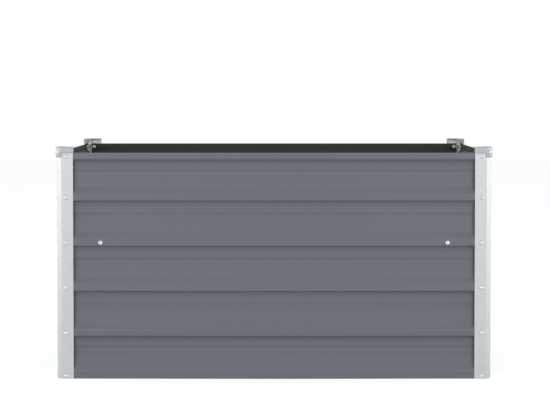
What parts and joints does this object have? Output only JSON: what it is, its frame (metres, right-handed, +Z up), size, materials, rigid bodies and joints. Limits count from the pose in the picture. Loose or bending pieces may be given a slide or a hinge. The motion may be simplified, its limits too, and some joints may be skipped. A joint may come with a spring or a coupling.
{
  "type": "raised garden bed",
  "caption": "Open rectangular raised garden bed of ribbed painted steel panels, screwed behind chamfered galvanised corner posts with end caps, and tied across by rods",
  "frame": {"origin": "on the ground under the middle of the bed: the middle of the bounding box's lowest face", "axes": "+X runs along the long sides, -Y is the front with the long panel, +Z is up"},
  "size_m": [0.8446, 0.5056, 0.4493],
  "materials": {
    "panel_paint": "blue-grey coil coating, semi-gloss outside, near-black back coat inside",
    "galvanised_post": "hot-dip galvanised sheet, smooth pale grey, satin",
    "galvanised_cap": "galvanised sheet, a little darker and duller than the posts",
    "rod_zinc": "bright zinc plating",
    "screw_zinc": "bright zinc plating"
  },
  "bodies": {
    "root": {"post_front_left": "galvanised_post", "post_front_right": "galvanised_post", "post_back_left": "galvanised_post", "post_back_right": "galvanised_post", "cap_front_left": "galvanised_cap", "cap_front_right": "galvanised_cap", "cap_back_left": "galvanised_cap", "cap_back_right": "galvanised_cap", "panel_front": "panel_paint", "panel_back": "panel_paint", "panel_left": "panel_paint", "panel_right": "panel_paint", "tie_rod_left": "rod_zinc", "tie_rod_right": "rod_zinc", "cap_screw_front_left": "screw_zinc", "cap_screw_front_right": "screw_zinc", "cap_screw_back_left": "screw_zinc", "cap_screw_back_right": "screw_zinc", "tie_screw_front_left": "screw_zinc", "tie_screw_front_right": "screw_zinc", "tie_screw_back_left": "screw_zinc", "tie_screw_back_right": "screw_zinc", "screw_front_left_1": "screw_zinc", "screw_front_left_2": "screw_zinc", "screw_front_left_3": "screw_zinc", "screw_front_left_4": "screw_zinc", "screw_front_left_5": "screw_zinc", "screw_front_left_6": "screw_zinc", "screw_front_right_1": "screw_zinc", "screw_front_right_2": "screw_zinc", "screw_front_right_3": "screw_zinc", "screw_front_right_4": "screw_zinc", "screw_front_right_5": "screw_zinc", "screw_front_right_6": "screw_zinc", "screw_back_left_1": "screw_zinc", "screw_back_left_2": "screw_zinc", "screw_back_left_3": "screw_zinc", "screw_back_left_4": "screw_zinc", "screw_back_left_5": "screw_zinc", "screw_back_left_6": "screw_zinc", "screw_back_right_1": "screw_zinc", "screw_back_right_2": "screw_zinc", "screw_back_right_3": "screw_zinc", "screw_back_right_4": "screw_zinc", "screw_back_right_5": "screw_zinc", "screw_back_right_6": "screw_zinc"}
  },
  "joints": []
}
